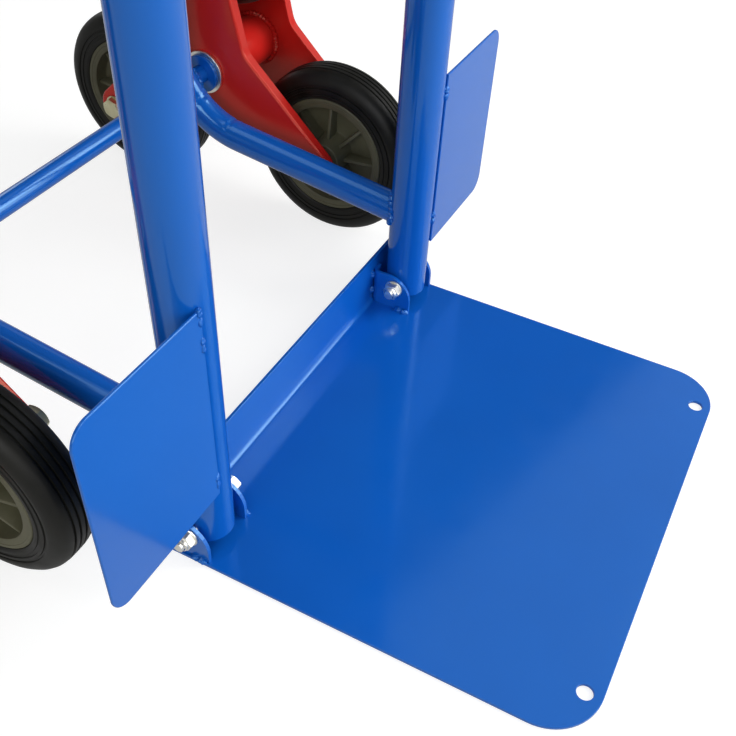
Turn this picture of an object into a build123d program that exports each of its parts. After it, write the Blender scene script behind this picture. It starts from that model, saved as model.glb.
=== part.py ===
from build123d import *
import os
from math import cos, radians, sin, tan

# Stair climbing hand truck: a welded tube frame, a folding toe plate on two hinge bolts, and two
# wheel stars of three wheels each, which turn on a fixed axle.
# Millimetres. The floor is z = 0, the toe plate points to -Y and the wheels are towards +Y.
# Left (-X) and right (+X) are as seen from the front. The origin is on the floor, in the middle
# of the truck's width and depth.

# Uprights, each bent back at the top into a handle
upright_d = 35.0
upright_wall = 1.5
upright_half = 153.5
upright_foot_z = 13.5
handle_bend_z = 960.0
handle_bend_r = 100.0
handle_turn = 65.0
handle_straight = 150.0

# Handle grips
grip_length = 125.0
grip_wall = 3.0
grip_end = 4.0
grip_rib_count = 14
grip_rib_height = 1.2
grip_flange_d = 54.0
grip_flange_t = 5.0
grip_flange_fillet = 1.6

# Cross bars, bowed to the back for round loads
bar_d = 25.0
bar_wall = 1.5
bar_bow = 26.0
bar_heights = {"lower": 470.0, "middle": 690.0, "upper": 910.0}

# Stays: bent tubes from the uprights round the axle and back to the uprights
stay_d = 25.4
stay_wall = 1.5
stay_slope = 7.5
stay_bend_r = 76.0
stay_axle_angle = 32.6
stay_top_z = 430.0

# Axle, its collars, washers and split pins
axle_d = 16.0
axle_back = 224.0
axle_end = 285.0
collar_d = 33.0
collar_length = 4.0
collar_fillet = 1.2
axle_washer_d = 38.0
axle_washer_t = 3.0
split_pin_d = 4.0
split_pin_length = 30.0
split_pin_eye_d = 9.0
split_pin_wire_d = 2.6
axle_chamfer = 1.5

# Wheel stars: two pressed plates with a flange along their edges, and a hub tube between them
star_in = 184.0
star_out = 272.0
star_r = 128.0
star_sheet = 3.0
star_flange = 10.0
star_tip_r = 17.0
star_root_r = 46.0
star_waist_fillet = 20.0
star_edge_fillet = 2.2
hub_d = 44.0
bush_d = 30.0
bush_length = 30.0
arm_angles = {"front": 210.0, "rear": 330.0, "top": 90.0}

# Wheels
wheel_d = 158.0
tyre_w = 36.0
tyre_shoulder_r = 12.0
tyre_bead_r = 50.0
tyre_bead_w = 34.0
rim_w = 33.0
rim_barrel_t = 4.0
rim_hub_r = 16.0
rim_hub_w = 54.0
rim_web_t = 5.0
rim_rib_t = 4.0
rim_rib_w = 26.0
rim_rib_count = 8
rim_fillet = 0.8
wheel_bush_d = 20.0
wheel_bolt_d = 10.0
wheel_bolt_flats = 17.0
wheel_head_t = 6.4
wheel_nut_t = 9.5
wheel_washer_d = 21.0
wheel_washer_t = 2.0
wheel_stub = 3.0
spacer_d = 17.0

# Toe plate with its lip and hinge ears
plate_w = 357.0
plate_reach = 281.0
plate_t = 2.5
plate_corner_r = 37.0
plate_hole_d = 11.0
plate_hole_x = 143.5
plate_hole_reach = 269.2
lip_back = 22.0
lip_h = 44.5
lip_bend_r = 4.0
lip_corner_r = 8.0
ear_t = 3.0
ear_gap = 3.0
ear_front = 15.0
ear_h = 33.0
ear_round = 22.0
ear_flange = 9.0
ear_bend_r = 3.0
hinge_z = 24.0
hinge_bolt_d = 8.0
hinge_flats = 13.0
hinge_head_t = 5.3
hinge_nut_t = 8.0
hinge_washer_d = 17.0
hinge_washer_t = 1.6
hinge_stub = 4.0

# Wings: flat guards in front of the wheels
wing_in = 161.8
wing_out = 265.2
wing_t = 2.0
wing_low_z = 61.5
wing_high_z = 212.0
wing_corner_r = 14.0
wing_set_back = 1.7

# Clearances
running_gap = 0.05
face_gap = 0.3
weld_gap = 0.05

# Derived places
sides = {"left": -1, "right": 1}
upright_r = upright_d / 2
stay_r = stay_d / 2
axle_r = axle_d / 2
wheel_r = wheel_d / 2
low_arm = radians(arm_angles["rear"])
wheel_reach = axle_back + star_r * cos(low_arm) + wheel_r
upright_y = (plate_reach - wheel_reach) / 2
axle_y = upright_y + axle_back
axle_z = wheel_r - star_r * sin(low_arm)
wheel_mid = (star_in + star_out) / 2
cut_length = 4 * upright_d

os.makedirs("parts", exist_ok=True)


def arm_end(angle):
    """Y and Z of the wheel centre on the arm at this angle, in degrees from +Y."""
    turn = radians(angle)
    return axle_y + star_r * cos(turn), axle_z + star_r * sin(turn)


arm_ends = {place: arm_end(angle) for place, angle in arm_angles.items()}
hinge_places = [sign * upright_half for sign in sides.values()]


def across(x):
    """Plane square to the truck's width at x, drawn in Y and Z."""
    return Plane.YZ.offset(x)


# Uprights and their grips
for side, sign in sides.items():
    upright_x = sign * upright_half
    with BuildPart() as upright:
        with BuildLine(across(upright_x)):
            post = Line((upright_y, upright_foot_z), (upright_y, handle_bend_z))
            bend = JernArc(post @ 1, post % 1, handle_bend_r, -handle_turn)
            handle = Line(bend @ 1, bend @ 1 + handle_straight * (bend % 1))
        with BuildSketch(Plane.XY.offset(upright_foot_z)):
            with Locations((upright_x, upright_y)):
                Circle(upright_r)
                Circle(upright_r - upright_wall, mode=Mode.SUBTRACT)
        sweep()
        with BuildSketch(across(upright_x)):
            with Locations((upright_y, hinge_z)):
                Circle(hinge_bolt_d / 2 + running_gap)
        extrude(amount=upright_d, both=True, mode=Mode.SUBTRACT)
    upright.part.label = f"upright_{side}"
    export_step(upright.part, f"parts/upright_{side}.step")

    handle_end = handle @ 1
    handle_dir = handle % 1
    grip_start = handle_end - grip_length * handle_dir
    grip_plane = Plane(grip_start, x_dir=(1, 0, 0), z_dir=Vector(1, 0, 0).cross(handle_dir))
    grip_r = upright_r + grip_wall
    rib_pitch = (grip_length - 2 * grip_flange_t) / grip_rib_count
    with BuildPart() as grip:
        with BuildSketch(grip_plane):
            with BuildLine():
                Polyline(
                    (upright_r + weld_gap, 0),
                    (grip_flange_d / 2, 0),
                    (grip_flange_d / 2, grip_flange_t),
                    (grip_r, grip_flange_t),
                    (grip_r, grip_length + grip_end),
                    (0, grip_length + grip_end),
                    (0, grip_length + weld_gap),
                    (upright_r + weld_gap, grip_length + weld_gap),
                    close=True,
                )
            make_face()
            for rib in range(grip_rib_count):
                with Locations((grip_r, 2 * grip_flange_t + rib * rib_pitch)):
                    Rectangle(2 * grip_rib_height, rib_pitch / 2)
        revolve(axis=Axis(grip_start, handle_dir))
        outer_rings = grip.edges().filter_by(GeomType.CIRCLE).sort_by(SortBy.RADIUS)[-2:]
        fillet(outer_rings, grip_flange_fillet)
    grip.part.label = f"grip_{side}"
    export_step(grip.part, f"parts/grip_{side}.step")

# Cross bars, coped to the uprights
for level, bar_z in bar_heights.items():
    with BuildPart() as cross_bar:
        with BuildLine(Plane.XY.offset(bar_z)) as bow:
            ThreePointArc(
                (-upright_half, upright_y),
                (0, upright_y + bar_bow),
                (upright_half, upright_y),
            )
        with BuildSketch(Plane(bow.line @ 0, z_dir=bow.line % 0)):
            Circle(bar_d / 2)
            Circle(bar_d / 2 - bar_wall, mode=Mode.SUBTRACT)
        sweep()
        with Locations(*[(x, upright_y, bar_z) for x in hinge_places]):
            Cylinder(upright_r + weld_gap, cut_length, mode=Mode.SUBTRACT)
    cross_bar.part.label = f"cross_bar_{level}"
    export_step(cross_bar.part, f"parts/cross_bar_{level}.step")

# Stays: the lower leg rises to the back, the bend holds the axle, and the upper leg comes back level
bend_y = axle_y - stay_bend_r * cos(radians(stay_axle_angle))
bend_z = axle_z + stay_bend_r * sin(radians(stay_axle_angle))
slope = radians(stay_slope)
leg_end = (bend_y + stay_bend_r * sin(slope), bend_z - stay_bend_r * cos(slope))
leg_start = (upright_y, leg_end[1] - (leg_end[0] - upright_y) * tan(slope))
upper_bend_z = stay_top_z - stay_bend_r
for side, sign in sides.items():
    stay_x = sign * upright_half
    with BuildPart() as stay:
        with BuildLine(across(stay_x)) as stay_path:
            lower_leg = Line(leg_start, leg_end)
            lower_bend = JernArc(lower_leg @ 1, lower_leg % 1, stay_bend_r, 90 - stay_slope)
            rear_leg = Line(lower_bend @ 1, lower_bend @ 1 + Vector(0, 0, upper_bend_z - bend_z))
            upper_bend = JernArc(rear_leg @ 1, rear_leg % 1, stay_bend_r, 90)
            Line(upper_bend @ 1, upper_bend @ 1 + Vector(0, upright_y - bend_y, 0))
        with BuildSketch(Plane(stay_path.line @ 0, z_dir=stay_path.line % 0)):
            Circle(stay_r)
            Circle(stay_r - stay_wall, mode=Mode.SUBTRACT)
        sweep()
        with Locations((stay_x, upright_y, (leg_start[1] + stay_top_z) / 2)):
            Cylinder(upright_r + weld_gap, stay_top_z, mode=Mode.SUBTRACT)
        with BuildSketch(across(stay_x)):
            with Locations((axle_y, axle_z)):
                Circle(axle_r + weld_gap)
        extrude(amount=stay_d, both=True, mode=Mode.SUBTRACT)
    stay.part.label = f"stay_{side}"
    export_step(stay.part, f"parts/stay_{side}.step")

# Axle with a cross hole for the split pin at each end
outer_washer_in = star_out + face_gap
pin_x = outer_washer_in + axle_washer_t + split_pin_d / 2 + face_gap
with BuildPart() as axle:
    with BuildSketch(across(0)):
        with Locations((axle_y, axle_z)):
            Circle(axle_r)
    extrude(amount=axle_end, both=True)
    chamfer(axle.edges().filter_by(GeomType.CIRCLE), axle_chamfer)
    with Locations(*[(sign * pin_x, axle_y, axle_z) for sign in sides.values()]):
        Cylinder(split_pin_d / 2 + running_gap, 2 * axle_d, mode=Mode.SUBTRACT)
axle.part.label = "axle"
export_step(axle.part, "parts/axle.step")

# Collars welded to the axle, and the washers on both sides of each star
inner_washer_in = star_in - face_gap - axle_washer_t
collar_in = inner_washer_in - collar_length
with BuildPart() as axle_collars:
    for sign in sides.values():
        with BuildSketch(across(sign * collar_in)):
            with Locations((axle_y, axle_z)):
                Circle(collar_d / 2)
                Circle(axle_r + weld_gap, mode=Mode.SUBTRACT)
        extrude(amount=sign * collar_length)
    collar_edges = axle_collars.edges().filter_by(GeomType.CIRCLE).group_by(SortBy.RADIUS)[-1]
    fillet(collar_edges, collar_fillet)
axle_collars.part.label = "axle_collars"
export_step(axle_collars.part, "parts/axle_collars.step")

for name, washer_in in {"inner": inner_washer_in, "outer": outer_washer_in}.items():
    with BuildPart() as axle_washers:
        for sign in sides.values():
            with BuildSketch(across(sign * washer_in)):
                with Locations((axle_y, axle_z)):
                    Circle(axle_washer_d / 2)
                    Circle(axle_r + weld_gap, mode=Mode.SUBTRACT)
            extrude(amount=sign * axle_washer_t)
    axle_washers.part.label = f"axle_washers_{name}"
    export_step(axle_washers.part, f"parts/axle_washers_{name}.step")

# Split pins, upright in the axle's cross holes, with an eye at the top
with BuildPart() as split_pins:
    for sign in sides.values():
        with Locations((sign * pin_x, axle_y, axle_z)):
            Cylinder(split_pin_d / 2, split_pin_length)
        eye_z = axle_z + split_pin_length / 2 + split_pin_eye_d / 2
        with Locations(Location((sign * pin_x, axle_y, eye_z), (0, 90, 0))):
            Torus(split_pin_eye_d / 2, split_pin_wire_d / 2)
split_pins.part.label = "split_pins"
export_step(split_pins.part, "parts/split_pins.step")

# Wings
wing_back_y = upright_y - upright_r + wing_set_back
for side, sign in sides.items():
    with BuildPart() as wing:
        with BuildSketch(Plane.XZ.offset(-wing_back_y)):
            with Locations((sign * (wing_in + wing_out) / 2, (wing_low_z + wing_high_z) / 2)):
                Rectangle(wing_out - wing_in, wing_high_z - wing_low_z)
        extrude(amount=wing_t)
        outer_edges = wing.edges().filter_by(Axis.Y).sort_by(Axis.X)
        outer_edges = outer_edges[-2:] if sign > 0 else outer_edges[:2]
        fillet(outer_edges, wing_corner_r)
    wing.part.label = f"wing_{side}"
    export_step(wing.part, f"parts/wing_{side}.step")

# Toe plate, bent up at the back into the lip
lip_face_y = upright_y + lip_back
plate_front_y = upright_y - plate_reach
with BuildPart() as toe_plate:
    with BuildSketch(across(0)) as bent_sheet:
        with BuildLine():
            Polyline(
                (plate_front_y, 0),
                (lip_face_y + plate_t, 0),
                (lip_face_y + plate_t, plate_t + lip_h),
                (lip_face_y, plate_t + lip_h),
                (lip_face_y, plate_t),
                (plate_front_y, plate_t),
                close=True,
            )
        make_face()
        bend_inside = bent_sheet.vertices().sort_by_distance((lip_face_y, plate_t))[0]
        fillet(bend_inside, lip_bend_r)
        bend_outside = bent_sheet.vertices().sort_by_distance((lip_face_y + plate_t, 0))[0]
        fillet(bend_outside, lip_bend_r + plate_t)
    extrude(amount=plate_w / 2, both=True)
    front_corners = toe_plate.edges().filter_by(Axis.Z).sort_by(Axis.Y)[:2]
    fillet(front_corners, plate_corner_r)
    lip_corners = toe_plate.edges().filter_by(Axis.Y).group_by(Axis.Z)[-1]
    fillet(lip_corners, lip_corner_r)
    with BuildSketch(Plane.XY):
        with Locations(*[(sign * plate_hole_x, upright_y - plate_hole_reach) for sign in sides.values()]):
            Circle(plate_hole_d / 2)
    extrude(amount=plate_t, mode=Mode.SUBTRACT)
toe_plate.part.label = "toe_plate"
export_step(toe_plate.part, "parts/toe_plate.step")

# Hinge ears, one on each side of each upright: bent strips with a flange on the lip and a round front
ear_near = upright_r + ear_gap
ear_far = ear_near + ear_t
ear_low = plate_t + weld_gap
ear_top = plate_t + ear_h
ear_front_y = upright_y - ear_front
ear_back_y = lip_face_y - weld_gap
with BuildPart() as hinge_ears:
    for hinge_x in hinge_places:
        for sign in sides.values():
            near_x = hinge_x + sign * ear_near
            far_x = hinge_x + sign * ear_far
            flange_x = near_x - sign * ear_flange
            with BuildSketch(Plane.XY.offset(ear_low)) as ear:
                with BuildLine():
                    Polyline(
                        (far_x, ear_front_y),
                        (far_x, ear_back_y),
                        (flange_x, ear_back_y),
                        (flange_x, ear_back_y - ear_t),
                        (near_x, ear_back_y - ear_t),
                        (near_x, ear_front_y),
                        close=True,
                    )
                make_face()
                inside = ear.vertices().sort_by_distance((near_x, ear_back_y - ear_t))[0]
                fillet(inside, ear_bend_r)
                outside = ear.vertices().sort_by_distance((far_x, ear_back_y))[0]
                fillet(outside, ear_bend_r + ear_t)
            extrude(amount=ear_top - ear_low)
    top_edges = hinge_ears.edges().filter_by(Axis.X).group_by(Axis.Z)[-1]
    fillet(top_edges.group_by(Axis.Y)[0], ear_round)
    with BuildSketch(across(0)):
        with Locations((upright_y, hinge_z)):
            Circle(hinge_bolt_d / 2 + weld_gap)
        with BuildLine():
            Polyline(
                (ear_back_y - lip_bend_r, ear_low),
                (ear_back_y, ear_low),
                (ear_back_y, ear_low + lip_bend_r),
                close=True,
            )
        make_face()
    extrude(amount=plate_w / 2, both=True, mode=Mode.SUBTRACT)
hinge_ears.part.label = "hinge_ears"
export_step(hinge_ears.part, "parts/hinge_ears.step")

# Hinge bolts, both put in from +X, with their washers and locknuts
seat = ear_far + hinge_washer_t
with BuildPart() as hinge_bolts:
    for hinge_x in hinge_places:
        nut_end = hinge_x - seat - hinge_nut_t - hinge_stub
        with BuildSketch(across(nut_end)):
            with Locations((upright_y, hinge_z)):
                Circle(hinge_bolt_d / 2)
        extrude(amount=hinge_x + seat - nut_end)
        with BuildSketch(across(hinge_x + seat)):
            with Locations((upright_y, hinge_z)):
                RegularPolygon(hinge_flats / 2, 6, major_radius=False)
        extrude(amount=hinge_head_t)
hinge_bolts.part.label = "hinge_bolts"
export_step(hinge_bolts.part, "parts/hinge_bolts.step")

with BuildPart() as hinge_washers:
    for hinge_x in hinge_places:
        for sign in sides.values():
            with BuildSketch(across(hinge_x + sign * ear_far)):
                with Locations((upright_y, hinge_z)):
                    Circle(hinge_washer_d / 2)
                    Circle(hinge_bolt_d / 2 + weld_gap, mode=Mode.SUBTRACT)
            extrude(amount=sign * hinge_washer_t)
hinge_washers.part.label = "hinge_washers"
export_step(hinge_washers.part, "parts/hinge_washers.step")

with BuildPart() as hinge_nuts:
    for hinge_x in hinge_places:
        with BuildSketch(across(hinge_x - seat)):
            with Locations((upright_y, hinge_z)):
                RegularPolygon(hinge_flats / 2, 6, major_radius=False)
                Circle(hinge_bolt_d / 2 + weld_gap, mode=Mode.SUBTRACT)
        extrude(amount=-hinge_nut_t)
hinge_nuts.part.label = "hinge_nuts"
export_step(hinge_nuts.part, "parts/hinge_nuts.step")

# Outline of a star plate about its own centre: three tapered arms with round tips and filleted waists
with BuildSketch() as star_arm:
    Circle(star_root_r)
    with Locations((star_r, 0)):
        Circle(star_tip_r)
    make_hull()
with BuildSketch() as star_outline:
    with PolarLocations(0, len(arm_angles), start_angle=arm_angles["top"]):
        add(star_arm.sketch)
    waists = star_outline.vertices().sort_by_distance((0, 0))[: len(arm_angles)]
    fillet(waists, star_waist_fillet)


def star_plane(x):
    """Plane square to the axle at x, with its origin on the axle."""
    return Plane((x, axle_y, axle_z), x_dir=(0, 1, 0), z_dir=(1, 0, 0))


# Wheel stars
for side, sign in sides.items():
    for name, face_x, inward in (("inner", star_in, sign), ("outer", star_out, -sign)):
        with BuildPart() as star_plate:
            with BuildSketch(star_plane(sign * face_x)):
                add(star_outline.sketch)
            extrude(amount=inward * star_flange)
            flat = star_plate.faces().sort_by(Axis.X)[0 if inward > 0 else -1]
            fillet(flat.edges(), star_edge_fillet)
            with BuildSketch(star_plane(sign * face_x + inward * star_sheet)):
                add(star_outline.sketch)
                offset(amount=-star_sheet, mode=Mode.REPLACE)
            extrude(amount=inward * star_flange, mode=Mode.SUBTRACT)
            with BuildSketch(star_plane(sign * face_x)):
                Circle(bush_d / 2 + weld_gap)
                with PolarLocations(star_r, len(arm_angles), start_angle=arm_angles["top"]):
                    Circle(wheel_bolt_d / 2 + weld_gap)
            extrude(amount=inward * star_flange, mode=Mode.SUBTRACT)
        star_plate.part.label = f"star_{name}_plate_{side}"
        export_step(star_plate.part, f"parts/star_{name}_plate_{side}.step")

    hub_in = star_in + star_sheet + weld_gap
    hub_length = star_out - star_in - 2 * (star_sheet + weld_gap)
    with BuildPart() as star_hub:
        with BuildSketch(star_plane(sign * hub_in)):
            Circle(hub_d / 2)
            Circle(bush_d / 2 + weld_gap, mode=Mode.SUBTRACT)
        extrude(amount=sign * hub_length)
    star_hub.part.label = f"star_hub_{side}"
    export_step(star_hub.part, f"parts/star_hub_{side}.step")

    with BuildPart() as star_bushes:
        for bush_in in (star_in, star_out - bush_length):
            with BuildSketch(star_plane(sign * bush_in)):
                Circle(bush_d / 2)
                Circle(axle_r + running_gap, mode=Mode.SUBTRACT)
            extrude(amount=sign * bush_length)
    star_bushes.part.label = f"star_bushes_{side}"
    export_step(star_bushes.part, f"parts/star_bushes_{side}.step")

    # Wheel bolts with heads on the inner plate, washers under heads and nuts, and spacers at the wheels
    head_in = star_in - wheel_washer_t
    nut_in = star_out + wheel_washer_t
    with BuildPart() as wheel_bolts:
        for y, z in arm_ends.values():
            with BuildSketch(across(sign * head_in)):
                with Locations((y, z)):
                    RegularPolygon(wheel_bolt_flats / 2, 6, major_radius=False)
            extrude(amount=-sign * wheel_head_t)
            with BuildSketch(across(sign * head_in)):
                with Locations((y, z)):
                    Circle(wheel_bolt_d / 2)
            extrude(amount=sign * (nut_in + wheel_nut_t + wheel_stub - head_in))
    wheel_bolts.part.label = f"wheel_bolts_{side}"
    export_step(wheel_bolts.part, f"parts/wheel_bolts_{side}.step")

    with BuildPart() as wheel_nuts:
        for y, z in arm_ends.values():
            with BuildSketch(across(sign * nut_in)):
                with Locations((y, z)):
                    RegularPolygon(wheel_bolt_flats / 2, 6, major_radius=False)
                    Circle(wheel_bolt_d / 2 + weld_gap, mode=Mode.SUBTRACT)
            extrude(amount=sign * wheel_nut_t)
    wheel_nuts.part.label = f"wheel_nuts_{side}"
    export_step(wheel_nuts.part, f"parts/wheel_nuts_{side}.step")

    with BuildPart() as wheel_washers:
        for washer_x in (head_in, star_out):
            for y, z in arm_ends.values():
                with BuildSketch(across(sign * washer_x)):
                    with Locations((y, z)):
                        Circle(wheel_washer_d / 2)
                        Circle(wheel_bolt_d / 2 + weld_gap, mode=Mode.SUBTRACT)
                extrude(amount=sign * wheel_washer_t)
    wheel_washers.part.label = f"wheel_washers_{side}"
    export_step(wheel_washers.part, f"parts/wheel_washers_{side}.step")

    spacer_length = wheel_mid - rim_hub_w / 2 - face_gap - hub_in
    with BuildPart() as wheel_spacers:
        for spacer_x in (hub_in, hub_in + hub_length - spacer_length):
            for y, z in arm_ends.values():
                with BuildSketch(across(sign * spacer_x)):
                    with Locations((y, z)):
                        Circle(spacer_d / 2)
                        Circle(wheel_bolt_d / 2 + weld_gap, mode=Mode.SUBTRACT)
                extrude(amount=sign * spacer_length)
    wheel_spacers.part.label = f"wheel_spacers_{side}"
    export_step(wheel_spacers.part, f"parts/wheel_spacers_{side}.step")

    # Wheels: solid tyre, spoked rim and a bush that runs on the wheel bolt
    for place, (y, z) in arm_ends.items():
        wheel_plane = Plane((sign * wheel_mid, y, z), x_dir=(1, 0, 0), z_dir=(0, -1, 0))
        wheel_axis = Axis((0, y, z), (1, 0, 0))
        with BuildPart() as tyre:
            with BuildSketch(wheel_plane) as tread:
                with Locations((0, (wheel_r + tyre_bead_r) / 2)):
                    Rectangle(tyre_w, wheel_r - tyre_bead_r)
                shoulders = tread.vertices().group_by(Axis.Y)[-1]
                fillet(shoulders, tyre_shoulder_r)
                beads = tread.vertices().group_by(Axis.Y)[0]
                chamfer(beads, (tyre_w - tyre_bead_w) / 2)
            revolve(axis=wheel_axis)
        tyre.part.label = f"tyre_{side}_{place}"
        export_step(tyre.part, f"parts/tyre_{side}_{place}.step")

        rim_r = tyre_bead_r - weld_gap
        barrel_in = rim_r - rim_barrel_t
        with BuildPart() as rim:
            with BuildSketch(wheel_plane):
                with Locations((0, rim_r - rim_barrel_t / 2)):
                    Rectangle(rim_w, rim_barrel_t)
                with Locations((0, (barrel_in + rim_hub_r) / 2)):
                    Rectangle(rim_web_t, barrel_in - rim_hub_r + 2 * rim_fillet)
                with Locations((0, (rim_hub_r + wheel_bush_d / 2 + weld_gap) / 2)):
                    Rectangle(rim_hub_w, rim_hub_r - wheel_bush_d / 2 - weld_gap)
            revolve(axis=wheel_axis)
            with BuildSketch(Plane((sign * wheel_mid, y, z), x_dir=(0, 1, 0), z_dir=(1, 0, 0))):
                with PolarLocations((barrel_in + rim_hub_r) / 2, rim_rib_count):
                    Rectangle(barrel_in - rim_hub_r + 2 * rim_fillet, rim_rib_t)
            extrude(amount=rim_rib_w / 2, both=True)
        rim.part.label = f"rim_{side}_{place}"
        export_step(rim.part, f"parts/rim_{side}_{place}.step")

        with BuildPart() as wheel_bush:
            with BuildSketch(across(sign * (wheel_mid - rim_hub_w / 2))):
                with Locations((y, z)):
                    Circle(wheel_bush_d / 2)
                    Circle(wheel_bolt_d / 2 + running_gap, mode=Mode.SUBTRACT)
            extrude(amount=sign * rim_hub_w)
        wheel_bush.part.label = f"wheel_bush_{side}_{place}"
        export_step(wheel_bush.part, f"parts/wheel_bush_{side}_{place}.step")
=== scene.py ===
import logging
import math
from dataclasses import dataclass
from enum import Enum
from typing import Iterable, Optional, Sequence, Union

import bmesh
import bpy
from bmesh.types import BMEdge, BMesh, BMVert
from bpy.types import Material, Node, NodeSocket, NodeTree, Object, World
from mathutils import Euler, Matrix, Vector, noise


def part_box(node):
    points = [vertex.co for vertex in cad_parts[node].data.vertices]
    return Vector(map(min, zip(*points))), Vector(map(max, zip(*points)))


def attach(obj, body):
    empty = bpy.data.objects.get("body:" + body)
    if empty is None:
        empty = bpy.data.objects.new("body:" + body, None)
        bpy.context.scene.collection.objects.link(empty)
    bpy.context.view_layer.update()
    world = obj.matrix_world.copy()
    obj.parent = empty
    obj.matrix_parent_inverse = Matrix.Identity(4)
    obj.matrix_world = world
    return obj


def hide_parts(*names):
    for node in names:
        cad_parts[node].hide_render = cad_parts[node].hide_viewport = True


# Stair climbing hand truck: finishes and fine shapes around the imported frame.
# Sizes are millimetres in the truck's own frame, and each finished piece is in metres.
# Only the studio's lamps are placed in metres.
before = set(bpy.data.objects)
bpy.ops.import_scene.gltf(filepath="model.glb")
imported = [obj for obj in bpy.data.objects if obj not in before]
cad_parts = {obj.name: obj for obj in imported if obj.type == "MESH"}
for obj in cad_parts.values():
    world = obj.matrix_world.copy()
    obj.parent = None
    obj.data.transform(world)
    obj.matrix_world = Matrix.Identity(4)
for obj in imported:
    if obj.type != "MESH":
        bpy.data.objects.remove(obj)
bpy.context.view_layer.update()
LOG = logging.getLogger("hand_truck")
MM = 0.001
TURN = 2 * math.pi
X_AXIS = Vector((1, 0, 0))
Y_AXIS = Vector((0, 1, 0))
Z_AXIS = Vector((0, 0, 1))
# Turns a flat ring, which Blender draws about Z, so that it stands about X.
ABOUT_X = Matrix.Rotation(math.pi / 2, 4, "Y")
# Edges that bend more than this stay sharp, on cut and turned parts and on lumps of weld.
CREASE_DEG = 32.0
LUMP_DEG = 80.0
# Points nearer than this are one point.
MERGE_MM = 0.0005
# Flats round a tube.
TUBE_SIDES = 64
# Most values of a noise texture lie between these.
NOISE_SPAN = (0.3, 0.7)

Pair = tuple[float, float]
Triple = tuple[float, float, float]
Outline = Sequence[Pair]
Inputs = Union[dict, Sequence]
Ring = list[BMVert]
Copes = Sequence[Optional["Cope"]]


class Side(Enum):
    """The two sides of the truck, by the sign of X."""

    LEFT = -1
    RIGHT = 1

    @property
    def word(self) -> str:
        """The side as the CAD nodes name it."""
        return self.name.lower()


class Arm(Enum):
    """The three arms of a wheel star, by where they stand at rest."""

    FRONT = "front"
    REAR = "rear"
    TOP = "top"


class Level(Enum):
    """The cross bars, by their height in millimetres."""

    LOWER = 470.0
    MIDDLE = 690.0
    UPPER = 910.0


class Slot(Enum):
    """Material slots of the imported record."""

    BLUE = "blue_paint"
    RED = "red_paint"
    ZINC = "zinc"
    TYRE = "tyre_rubber"
    RIM = "rim_plastic"
    NYLON = "nylon"
    GRIP = "grip_rubber"


def linear(code: str) -> tuple[float, float, float, float]:
    """Turn an sRGB colour into linear light.

    Args:
        code: Hex colour such as "#1A5BB8".

    Returns:
        Red, green, blue and alpha for a node socket.
    """
    shares = [int(code[i : i + 2], 16) / 255 for i in (1, 3, 5)]
    red, green, blue = (s / 12.92 if s <= 0.04045 else ((s + 0.055) / 1.055) ** 2.4 for s in shares)
    return red, green, blue, 1.0


def grain(where: NodeSocket, size_mm: float, **more: float) -> dict:
    """Inputs of a texture whose features have this size."""
    return {"Vector": where, "Scale": 1 / (size_mm * MM), **more}


def add_node(tree: NodeTree, kind: str, inputs: Inputs = (), **settings: object) -> Node:
    """Add a node with its settings, values and links.

    Args:
        tree: Node tree that gets the node.
        kind: Blender's name of the node type.
        inputs: A value, or the node or socket that feeds it, for each input socket: by the
            socket's name or number, or in order.
        settings: Node attributes to set first.

    Returns:
        The new node.
    """
    node = tree.nodes.new(kind)
    for name, value in settings.items():
        setattr(node, name, value)
    for socket, value in inputs.items() if isinstance(inputs, dict) else enumerate(inputs):
        if isinstance(value, (Node, NodeSocket)):
            source = value.outputs[0] if isinstance(value, Node) else value
            tree.links.new(source, node.inputs[socket])
        else:
            node.inputs[socket].default_value = value
    return node


def empty_tree(owner: Union[Material, World]) -> NodeTree:
    """Clear the node tree of a material or a world.

    Args:
        owner: The material or world.

    Returns:
        Its empty tree.
    """
    owner.use_nodes = True
    owner.node_tree.nodes.clear()
    return owner.node_tree


@dataclass(frozen=True)
class Finish:
    """One real material and the way its surface was made."""

    name: str
    slot: Slot

    def shade(self, tree: NodeTree, where: NodeSocket) -> Node:
        """Build the surface in a node tree, on Object coordinates in metres."""
        raise NotImplementedError

    def material(self) -> Material:
        """Make the material once, and hand out the same one after that.

        Returns:
            The Blender material of this finish.
        """
        made = bpy.data.materials.get(self.name)
        if made is None:
            made = bpy.data.materials.new(self.name)
            tree = empty_tree(made)
            where = add_node(tree, "ShaderNodeTexCoord").outputs["Object"]
            add_node(tree, "ShaderNodeOutputMaterial", {"Surface": self.shade(tree, where)})
        return made


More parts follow.
